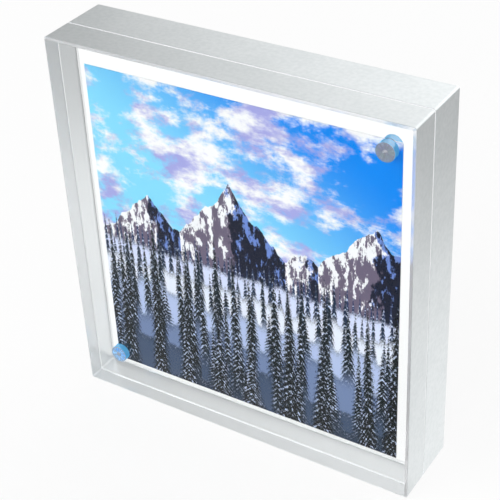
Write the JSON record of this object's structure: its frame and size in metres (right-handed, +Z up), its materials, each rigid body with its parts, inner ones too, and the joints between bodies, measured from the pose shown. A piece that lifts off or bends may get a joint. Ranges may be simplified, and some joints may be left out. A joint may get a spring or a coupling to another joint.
{
  "type": "magnetic photo frame",
  "caption": "Upright block photo frame: two clear slabs with silver-coated edges clamp a paper print between small corner disc magnets.",
  "frame": {"origin": "middle of the base that the frame stands on", "axes": "+X to the right as seen from the front, +Y to the back, +Z up; the picture faces -Y"},
  "size_m": [0.1016, 0.0224, 0.108],
  "materials": {
    "clear_acrylic": "polished clear acrylic",
    "silver_coat": "satin silver coat with a fine grain",
    "photo_paper": "gloss photo paper with a printed landscape, plain white on the back",
    "nickel_plate": "satin nickel plate on a sintered magnet",
    "clear_adhesive": "clear bonding film"
  },
  "bodies": {
    "rear": {"rear_block": "clear_acrylic", "rear_edge_coat": "silver_coat", "rear_upper_magnet": "nickel_plate", "rear_lower_magnet": "nickel_plate", "rear_upper_adhesive": "clear_adhesive", "rear_lower_adhesive": "clear_adhesive"},
    "front": {"front_block": "clear_acrylic", "front_edge_coat": "silver_coat", "front_upper_magnet": "nickel_plate", "front_lower_magnet": "nickel_plate", "front_upper_adhesive": "clear_adhesive", "front_lower_adhesive": "clear_adhesive"},
    "print": {"photo_print": "photo_paper"}
  },
  "joints": [
    {"name": "front_pull", "type": "slide", "parent": "rear", "child": "front", "axis": [0, -1, 0], "range_m": [0, 0.06]},
    {"name": "print_lift", "type": "slide", "parent": "rear", "child": "print", "axis": [0, 0, 1], "range_m": [0, 0.105]}
  ]
}
